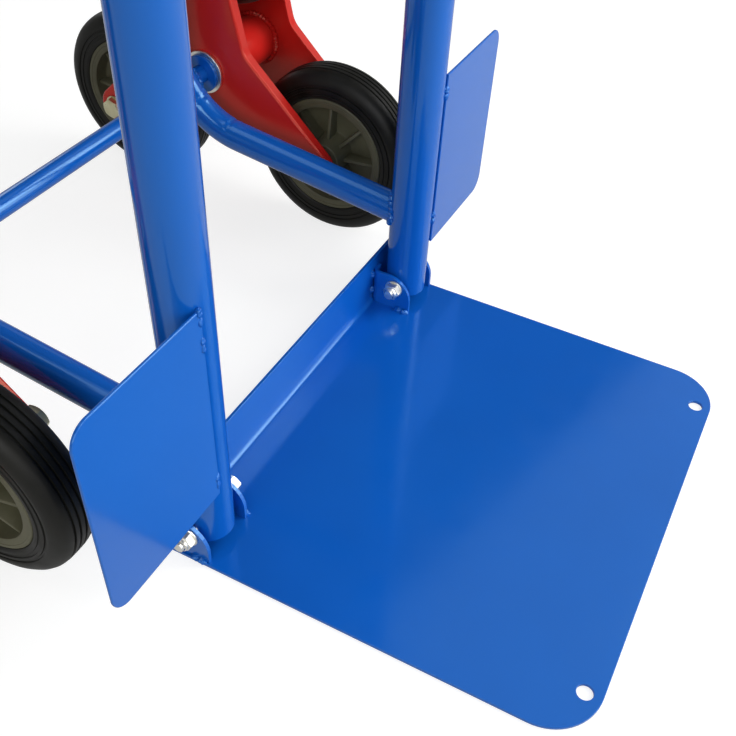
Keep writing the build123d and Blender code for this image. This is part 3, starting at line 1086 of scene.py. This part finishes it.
@dataclass(frozen=True)
class Washer:
    """Plain washer with rolled edges."""

    outer_d: float
    bore_d: float
    thickness: float
    soft_share: float = 0.22

    def shape(self, place: Matrix) -> BMesh:
        """Make the washer from x = 0 to its thickness.

        Args:
            place: Where it lies.

        Returns:
            The washer.
        """
        outer, bore, t = self.outer_d / 2, self.bore_d / 2, self.thickness
        soft = self.soft_share * t
        edge = [(0, outer - soft), (soft, outer), (t - soft, outer), (t, outer - soft)]
        return lathe([(0, bore), *edge, (t, bore + soft), (t - soft, bore)], place)


@dataclass(frozen=True)
class LockNut:
    """Locknut: a hexagon with a round collar that holds a nylon ring."""

    flats: float
    height: float
    bore_d: float
    hex_share: float = 0.74
    collar_share: float = 0.44
    lip_share: float = 0.36
    lip_depth: float = 0.8
    # Rounded edge of the collar, as (distance below the top, drop in radius).
    collar_edge: Outline = ((1.1, 0.0), (0.4, 0.3), (0.0, 1.0))
    # The nylon ring lies between these depths below the top, with a soft inner edge.
    ring_span: Pair = (0.9, 0.25)
    ring_soft: float = 0.3
    ring_fit: float = 0.1
    ring_steps: int = 48
    bore_fit: float = 0.05

    def shape(self, place: Matrix) -> BMesh:
        """Make the steel of the nut from x = 0 to its height.

        Args:
            place: Where it sits, with local X away from its washer.

        Returns:
            The nut.
        """
        seat, top = self.hex_share * self.height, self.height
        collar, lip = self.collar_share * self.flats, self.lip_share * self.flats
        bm = hex_prism(self.flats, seat, place)
        profile = [(seat / 2, 0.0), (seat / 2, collar)]
        profile += [(top - below, collar - drop) for below, drop in self.collar_edge]
        profile += [(top, lip), (top - self.lip_depth, lip), (top - self.lip_depth, 0.0)]
        join(bm, lathe(profile, place, closed=False))
        return bm

    def ring(self, place: Matrix) -> BMesh:
        """Make the nylon ring in the nut's collar.

        Args:
            place: Where the nut sits.

        Returns:
            The ring.
        """
        low, top = (self.height - below for below in self.ring_span)
        outer, bore = self.lip_share * self.flats - self.ring_fit, self.bore_d / 2 + self.bore_fit
        profile = [(low, bore), (low, outer), (top, outer), (top, bore + self.ring_soft)]
        return lathe(profile, place, self.ring_steps)


@dataclass(frozen=True)
class Bolt:
    """Hexagon head bolt with a visible thread at its end."""

    diameter: float
    flats: float
    head_t: float
    pitch: float
    crests: int = 5
    steps: int = 40
    slack: float = 0.02
    root_share: float = 0.55
    sunk_share: float = 0.3
    # One turn of the thread, as (share of the pitch, share of the thread's height).
    thread_form: Outline = ((0.3, 0.0), (0.45, 0.0), (0.75, 1.0), (0.95, 1.0))
    # Chamfer of the end, as (distance from the end, drop below the thread's root).
    end_edge: Outline = ((0.1, 0.0), (0.0, 0.3))

    def shape(self, place: Matrix, length: float) -> BMesh:
        """Make the bolt with its shank along local X and its head behind x = 0.

        Args:
            place: Where it sits, with local X from the head to the thread.
            length: Length of the shank.

        Returns:
            The bolt.
        """
        radius = self.diameter / 2 - self.slack
        root = self.diameter / 2 - self.root_share * self.pitch
        sunk, thread = -self.sunk_share * self.head_t, length - self.crests * self.pitch
        profile = [(sunk, 0.0), (sunk, radius), (thread, radius)]
        for crest in range(self.crests):
            profile += [
                (thread + (crest + along) * self.pitch, root + rise * (radius - root))
                for along, rise in self.thread_form
            ]
        profile += [(length - back, root - drop) for back, drop in self.end_edge]
        bm = lathe(profile + [(length, 0.0)], place, self.steps, closed=False)
        join(bm, hex_prism(self.flats, self.head_t, place @ Matrix.Rotation(math.pi, 4, "Z")))
        return bm


@dataclass(frozen=True)
class Clamp:
    """What one bolt holds: the faces under its head and nut, and how far each is turned."""

    head_face: Vector
    nut_face: Vector
    head_turn: float = 0.0
    nut_turn: float = 0.0


@dataclass(frozen=True)
class Fastener:
    """A bolt with a washer under its head, another under its locknut, and a stub of thread."""

    bolt: Bolt
    washer: Washer
    nut: LockNut
    stub: float

    def build(self, row: str, end: str, body: str, finish: Finish, clamps: Iterable[Clamp]) -> None:
        """Build a row of these.

        Args:
            row: How the names of the row's CAD nodes begin.
            end: How they end.
            body: Body that the row rides on.
            finish: Finish of the steel.
            clamps: What the bolts hold.
        """
        bolts, washers, nuts, rings = [], [], [], []
        for clamp in clamps:
            out = (clamp.nut_face - clamp.head_face).normalized()
            head = clamp.head_face - out * self.washer.thickness
            nut = clamp.nut_face + out * self.washer.thickness
            on_head = facing(head, out, Z_AXIS) @ Matrix.Rotation(clamp.head_turn, 4, "X")
            on_nut = facing(nut, out, Z_AXIS) @ Matrix.Rotation(clamp.nut_turn, 4, "X")
            length = (nut - head).length + self.nut.height + self.stub
            bolts.append(self.bolt.shape(on_head, length))
            nuts.append(self.nut.shape(on_nut))
            rings.append(self.nut.ring(on_nut))
            for face, away in ((clamp.head_face, -out), (clamp.nut_face, out)):
                washers.append(self.washer.shape(facing(face, away, Z_AXIS)))
        for kind, shapes in (("bolts", bolts), ("washers", washers), ("nuts", nuts)):
            node = f"{row}_{kind}{end}"
            Piece(f"{node}_turned", body, finish, (node,)).build(*shapes)
        Piece(f"{row}_nut_rings{end}", body, NYLON_RING).build(*rings)


@dataclass(frozen=True)
class ToePlate:
    """Folding toe plate with its hinge ears, their tack welds and the two hinge bolts."""

    at: Layout
    sheet_edge: float = 0.8
    ear_edge: float = 0.9
    plate_top: float = 2.5
    lip_back: float = 22.0
    hinge_z: float = 24.0
    ear_far: float = 23.5
    head_lean: float = 0.3
    fastener: Fastener = Fastener(
        Bolt(8.0, 13.0, 5.3, 1.25), Washer(16.0, 8.1, 1.6), LockNut(13.0, 8.0, 8.0), stub=2.0
    )
    tack: Triple = (3.8, 2.6, 2.5)
    tack_rise: float = 0.8
    # Welds on the plate as (x, y), and on its lip as (x, z).
    plate_tacks: Outline = (
        (128.8, -78.5), (129.2, -72.0), (177.6, -77.0), (-177.6, -76.0), (-177.4, -70.5),
        (-128.8, -79.0), (-129.2, -73.0),
    )
    lip_tacks: Outline = (
        (130.6, 31.0), (130.8, 14.0), (176.0, 29.0), (-130.6, 30.0), (-176.0, 28.0)
    )

    def build(self) -> None:
        """Build the sheet, the ears, the tack welds between them and the hinge bolts."""
        at, body = self.at, "toe_plate"
        rounded_copy("toe_plate", body, BLUE_COAT, self.sheet_edge)
        rounded_copy("hinge_ears", body, BLUE_COAT, self.ear_edge)
        tack_z, lip_y = self.plate_top + self.tack_rise, at.upright_y + self.lip_back
        on_plate = [
            weld_tack(Vector((x, y, tack_z)), Y_AXIS, Z_AXIS, self.tack, x)
            for x, y in self.plate_tacks
        ]
        on_lip = [
            weld_tack(Vector((x, lip_y, z)), Z_AXIS, -Y_AXIS, self.tack, x + z)
            for x, z in self.lip_tacks
        ]
        Piece("hinge_ear_tacks", body, BLUE_COAT, crease_deg=LUMP_DEG).build(*on_plate, *on_lip)
        ear, hinges = X_AXIS * self.ear_far, [at.on_upright(side, self.hinge_z) for side in Side]
        turn = math.atan(self.head_lean)
        clamps = [Clamp(hinge + ear, hinge - ear, turn) for hinge in hinges]
        self.fastener.build("hinge", "", body, ZINC, clamps)


@dataclass(frozen=True)
class Wheel:
    """Solid rubber tyre on a ribbed plastic rim."""

    side: Side
    arm: Arm
    tyre_crease_deg: float = 38.0
    tyre_steps: int = 144
    rim_steps: int = 96
    rib_count: int = 8
    rib_t: float = 4.0
    rib_draft: float = 0.78
    rib_edge: float = 0.9
    rib_corner: float = 1.0
    rib_hub_half: float = 17.0
    rib_rim_half: float = 11.5
    rib_start: float = 14.0
    rib_end: float = 46.4
    # Half outlines as (distance from the wheel's middle, radius): the tread with its grooves, the
    # side wall with its rings and the seat, and then the rim from its seat to its bore.
    tyre_half: Outline = (
        (1.5, 78.95), (1.9, 77.6), (3.1, 77.6), (3.5, 78.95), (6.2, 78.8), (6.6, 77.4), (7.8, 77.4),
        (8.2, 78.5), (10.6, 77.9), (13.4, 76.2), (15.8, 73.4), (17.2, 70.4), (17.9, 67.8),
        (18.0, 66.2), (17.7, 65.4), (17.0, 65.1), (17.0, 63.8), (17.8, 63.5), (17.9, 61.4),
        (17.2, 61.1), (17.1, 58.8), (17.7, 58.5), (17.8, 56.4), (17.3, 55.4), (16.6, 54.5),
        (14.6, 54.3), (14.6, 50.05),
    )
    rim_half: Outline = (
        (14.7, 49.95), (14.7, 53.9), (15.3, 54.2), (16.5, 54.0), (17.0, 53.3), (17.0, 51.0),
        (16.6, 50.6), (16.5, 47.2), (15.9, 46.0), (4.4, 44.6), (3.0, 43.8), (2.5, 42.4),
        (2.5, 20.2), (3.0, 18.6), (4.4, 17.6), (26.0, 16.0), (27.0, 15.2), (27.0, 10.1),
    )

    def both_halves(self, half: Outline) -> list[Pair]:
        """Close a half outline with its mirror image."""
        return list(half) + [(-along, radius) for along, radius in reversed(half)]

    def ribs(self, place: Matrix) -> BMesh:
        """Make all the ribs of a rim.

        Args:
            place: Where the wheel's axis stands.

        Returns:
            The ribs.
        """
        bm = bmesh.new()
        for vert in bmesh.ops.create_cube(bm, size=1.0)["verts"]:
            at_rim = vert.co.y > 0
            half = self.rib_rim_half if at_rim else self.rib_hub_half
            out = self.rib_end if at_rim else self.rib_start
            along, across = math.copysign(half, vert.co.x), math.copysign(self.rib_t / 2, vert.co.z)
            vert.co = Vector((along, out, across))
        lengths = [e for e in bm.edges if abs(e.verts[0].co.x - e.verts[1].co.x) > self.rib_t]
        bmesh.ops.subdivide_edges(bm, edges=lengths, cuts=1)
        # The ribs are thinner at both faces of the rim, so that they leave their mould.
        for vert in bm.verts:
            if abs(vert.co.x) > self.rib_t:
                vert.co.z *= self.rib_draft
        corners = [e for e in bm.edges if e.calc_face_angle(0.0) > self.rib_corner]
        bmesh.ops.bevel(
            bm,
            geom=corners,
            offset=self.rib_edge,
            segments=2,
            profile=0.5,
            affect="EDGES",
            material=-1,
        )
        copies = self.rib_count - 1
        bmesh.ops.spin(
            bm,
            geom=bm.verts[:] + bm.edges[:] + bm.faces[:],
            cent=(0, 0, 0),
            axis=X_AXIS,
            angle=TURN * copies / self.rib_count,
            steps=copies,
            use_duplicate=True,
        )
        bmesh.ops.transform(bm, matrix=place, verts=bm.verts)
        bmesh.ops.recalc_face_normals(bm, faces=bm.faces)
        return bm

    def build(self) -> None:
        """Build the tyre and the rim, and dress the bush."""
        label = f"{self.side.word}_{self.arm.value}"
        body, tyre, rim = f"wheel_{label}", f"tyre_{label}", f"rim_{label}"
        place = Matrix.Translation(node_middle(tyre))
        crease = self.tyre_crease_deg
        rubber = Piece(f"{tyre}_moulded", body, TYRE_RUBBER, (tyre,), crease_deg=crease)
        rubber.build(lathe(self.both_halves(self.tyre_half), place, self.tyre_steps))
        ring = lathe(self.both_halves(self.rim_half), place, self.rim_steps)
        Piece(f"{rim}_moulded", body, RIM_PLASTIC, (rim,)).build(ring, self.ribs(place))
        dress_node(f"wheel_bush_{label}", NYLON)


@dataclass(frozen=True)
class WheelStar:
    """Wheel star: two pressed plates, the hub tube with its welds, wheel bolts and wheels."""

    at: Layout
    side: Side
    plate_in: float = 184.0
    plate_out: float = 272.0
    sheet: float = 3.0
    edge_mm: float = 0.7
    hub_r: float = 22.0
    hub_gap: float = 0.05
    hub_steps: int = 72
    bush_r: float = 15.05
    bead_r: float = 2.4
    bead_off: float = 1.4
    bead_out: float = 0.4
    # Each bolt of the star is turned by this much more than the one before it, in radians.
    bolt_turn: float = 0.35
    fastener: Fastener = Fastener(
        Bolt(10.0, 17.0, 6.4, 1.5), Washer(21.0, 10.1, 2.0), LockNut(17.0, 9.5, 10.0), stub=3.0
    )

    def build_hub(self) -> None:
        """Build the hub tube and the welds that join it to the plates."""
        node, body = f"star_hub_{self.side.word}", f"star_{self.side.word}"
        sign, out = self.side.value, X_AXIS * self.side.value
        faces = (self.plate_in + self.sheet, self.plate_out - self.sheet)
        ends = [Vector((sign * x, self.at.axle_y, self.at.axle_z)) for x in faces]
        near, far = self.hub_gap, self.plate_out - self.plate_in - 2 * self.sheet - self.hub_gap
        profile = [(near, self.bush_r), (near, self.hub_r), (far, self.hub_r), (far, self.bush_r)]
        shape = lathe(profile, facing(ends[0], out, Z_AXIS), self.hub_steps)
        Piece(f"{node}_tube", body, RED_COAT, (node,)).build(shape)
        ring_r = self.hub_r + self.bead_out
        Piece(f"{node}_welds", body, RED_COAT).build(
            *(
                weld_ring(end + heading * self.bead_off, heading, ring_r, self.bead_r)
                for end, heading in zip(ends, (out, -out))
            )
        )

    def build_bolts(self) -> None:
        """Build the wheel bolts with their washers and nuts, and dress the spacers and bushes."""
        word, sign, clamps = self.side.word, self.side.value, []
        for number, arm in enumerate(Arm):
            hub, turn = node_middle(f"tyre_{word}_{arm.value}"), number * self.bolt_turn
            faces = [Vector((sign * x, hub.y, hub.z)) for x in (self.plate_in, self.plate_out)]
            clamps.append(Clamp(*faces, turn, turn))
        self.fastener.build("wheel", f"_{word}", f"star_{word}", YELLOW_ZINC, clamps)
        dress_node(f"wheel_spacers_{word}", ZINC)
        dress_node(f"star_bushes_{word}", NYLON)

    def build(self) -> None:
        """Build the star with its wheels."""
        word = self.side.word
        for layer in ("inner", "outer"):
            rounded_copy(f"star_{layer}_plate_{word}", f"star_{word}", RED_COAT, self.edge_mm)
        self.build_hub()
        self.build_bolts()
        for arm in Arm:
            Wheel(self.side, arm).build()


@dataclass(frozen=True)
class AxleEnds:
    """Washers beside the stars and the split pins that hold the stars on the axle."""

    washer_edge: float = 0.5
    pin_off: float = 2.3
    pin_top: float = 12.5
    wire_r: float = 0.95
    wire_sides: int = 16
    bend_steps: int = 8
    leg_gap: float = 1.0
    eye_r: float = 3.6
    eye_open: float = 50.0
    leg: float = 25.0
    leg_spread: float = 55.0
    bend_r: float = 3.5
    tail: float = 5.0

    def split_pin(self, middle: Vector) -> BMesh:
        """Make a split pin: an eye above the axle and two legs that are bent apart below it.

        Args:
            middle: Middle of the axle's cross hole.

        Returns:
            The pin.
        """
        bm = bmesh.new()
        for sign in (-1, 1):
            start = middle + Vector((0, sign * self.leg_gap, self.pin_top))
            eye = (
                Bend(self.bend_r, sign * self.eye_open, self.bend_steps),
                Bend(self.eye_r, -sign * (180 + self.eye_open)),
            )
            spread = Bend(self.bend_r, sign * self.leg_spread, self.bend_steps)
            leg = (Run(self.leg), spread, Run(self.tail))
            TubePath(start, Z_AXIS, -X_AXIS, eye).carry(bm, self.wire_r, self.wire_sides)
            path = TubePath(start, -Z_AXIS, X_AXIS, leg)
            _, last, _ = path.carry(bm, self.wire_r, self.wire_sides)
            bmesh.ops.edgeloop_fill(bm, edges=ring_edges(last))
        return closed_shape(bm)

    def build(self) -> None:
        """Build the washers and the split pins."""
        for row in ("inner", "outer"):
            rounded_copy(f"axle_washers_{row}", "frame", ZINC, self.washer_edge)
        axle = node_middle("axle")
        pin_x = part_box("axle_washers_outer")[1].x / MM + self.pin_off
        holes = [Vector((side.value * pin_x, axle.y, axle.z)) for side in Side]
        pins = Piece("split_pins_bent", "frame", ZINC, ("split_pins",))
        pins.build(*(self.split_pin(hole) for hole in holes))


@dataclass(frozen=True)
class Softbox:
    """A soft studio lamp that looks at the truck. Its grid narrows the light."""

    name: str
    place: Triple
    size: Pair
    power: float
    aim: Triple = (0.0, 0.0, 0.35)
    spread_deg: float = 150.0

    def build(self) -> None:
        """Hang the lamp."""
        lamp = bpy.data.lights.new(self.name, "AREA")
        lamp.shape = "RECTANGLE"
        lamp.size, lamp.size_y = self.size
        lamp.energy = self.power
        lamp.spread = math.radians(self.spread_deg)
        made = bpy.data.objects.new(self.name, lamp)
        made.location = self.place
        look = Vector(self.aim) - Vector(self.place)
        made.rotation_euler = look.to_track_quat("-Z", "Y").to_euler()
        made.visible_camera = False
        bpy.context.scene.collection.objects.link(made)


@dataclass(frozen=True)
class Studio:
    """White cove, soft lamps and the camera of the photograph."""

    floor_z: float = -0.3
    floor_r: float = 3600.0
    cove_r: float = 1600.0
    cove_steps: int = 10
    round_steps: int = 96
    wall_top: float = 3000.0
    floor_colour: str = "#A8A8A6"
    floor_lift: float = 0.76
    mirror_share: float = 0.4
    sky: str = "#55585C"
    sky_strength: float = 1.0
    camera_mm: Triple = (-461.78, -325.75, 525.09)
    camera_deg: Triple = (44.8967, -2.4537, -62.4113)
    lens: float = 45.345
    sensor: float = 36.0
    shift_y: float = 0.0503
    near_clip_mm: float = 10.0
    lamps: tuple[Softbox, ...] = (
        Softbox("Key softbox", (0.75, -0.95, 1.0), (0.8, 0.8), 5.9, (-0.05, -0.2, 0.0)),
        Softbox("Low softbox", (0.6, -1.7, 0.6), (1.9, 1.1), 11.8, (0.2, -0.1, 0.15)),
        Softbox("Front softbox", (-0.3, -2.5, 0.75), (4.6, 1.4), 18.2),
        Softbox("Wide dim panel", (1.42, -1.1, 2.0), (2.6, 2.6), 8.5, (0.0, -0.2, 0.0)),
        Softbox("Left softbox", (-2.2, -0.5, 1.2), (1.8, 1.4), 19.5, (0.0, 0.1, 0.25)),
        Softbox("Overhead softbox", (-0.5, 0.6, 2.3), (1.2, 1.2), 3.4),
        Softbox("Rear softbox", (1.2, 2.5, 1.7), (1.4, 1.4), 9.5),
    )

    def floor_material(self) -> Material:
        """Make the matt white of the cove, lifted towards white where it is seen or mirrored.

        Returns:
            The material.
        """
        made = bpy.data.materials.new("Matt white studio cove")
        tree = empty_tree(made)
        matt = add_node(tree, "ShaderNodeBsdfDiffuse", {"Color": linear(self.floor_colour)})
        rays = add_node(tree, "ShaderNodeLightPath").outputs
        bounced = (rays["Is Glossy Ray"], rays["Is Transmission Ray"])
        mirrored = add_node(tree, "ShaderNodeMath", bounced, operation="MAXIMUM")
        shares = (mirrored, self.mirror_share, rays["Is Camera Ray"])
        seen = add_node(tree, "ShaderNodeMath", shares, operation="MULTIPLY_ADD")
        lift = add_node(tree, "ShaderNodeMath", (seen, self.floor_lift), operation="MULTIPLY")
        glow = add_node(tree, "ShaderNodeEmission", {"Strength": lift})
        lifted = add_node(tree, "ShaderNodeAddShader", (matt, glow))
        add_node(tree, "ShaderNodeOutputMaterial", {"Surface": lifted})
        return made

    def build_cove(self) -> None:
        """Build the floor with its wall all round."""
        profile = [(self.floor_z, 0.0), (self.floor_z, self.floor_r)]
        for step in range(1, self.cove_steps + 1):
            turn = math.pi / 2 * step / self.cove_steps
            rise, run = self.cove_r * (1 - math.cos(turn)), self.cove_r * math.sin(turn)
            profile.append((self.floor_z + rise, self.floor_r + run))
        profile.append((self.wall_top, self.floor_r + self.cove_r))
        upright = facing(Vector(), Z_AXIS, X_AXIS)
        shape = lathe(profile, upright, self.round_steps, closed=False)
        smooth_object("studio_cove", shape, self.floor_material())

    def build_world(self) -> None:
        """Fill the room above the cove with a plain grey light."""
        world = bpy.data.worlds.new("Studio room")
        bpy.context.scene.world = world
        tree = empty_tree(world)
        light = {"Color": linear(self.sky), "Strength": self.sky_strength}
        sky = add_node(tree, "ShaderNodeBackground", light)
        add_node(tree, "ShaderNodeOutputWorld", {"Surface": sky})

    def build_camera(self) -> None:
        """Set the camera where the photograph was taken from."""
        lens = bpy.data.cameras.new("Photograph camera")
        lens.lens = self.lens
        lens.sensor_width = self.sensor
        lens.shift_y = self.shift_y
        lens.clip_start = self.near_clip_mm * MM
        camera = bpy.data.objects.new("Photograph camera", lens)
        camera.location = Vector(self.camera_mm) * MM
        camera.rotation_euler = Euler([math.radians(a) for a in self.camera_deg], "XYZ")
        bpy.context.scene.collection.objects.link(camera)
        bpy.context.scene.camera = camera

    def build(self) -> None:
        """Build the whole studio."""
        bpy.context.scene.view_settings.view_transform = "Standard"
        self.build_cove()
        self.build_world()
        for lamp in self.lamps:
            lamp.build()
        self.build_camera()


def main() -> None:
    """Build the truck's sub-assemblies and the studio in order."""
    logging.basicConfig(level=logging.INFO, format="%(message)s")
    at = Layout.from_frame()
    tubes = TubeFrame(at)
    tubes.build()
    for side in Side:
        Grip(tubes, side).build()
        Wing(at, side).build()
        WheelStar(at, side).build()
    ToePlate(at).build()
    AxleEnds().build()
    Studio().build()


if __name__ == "__main__":
    main()
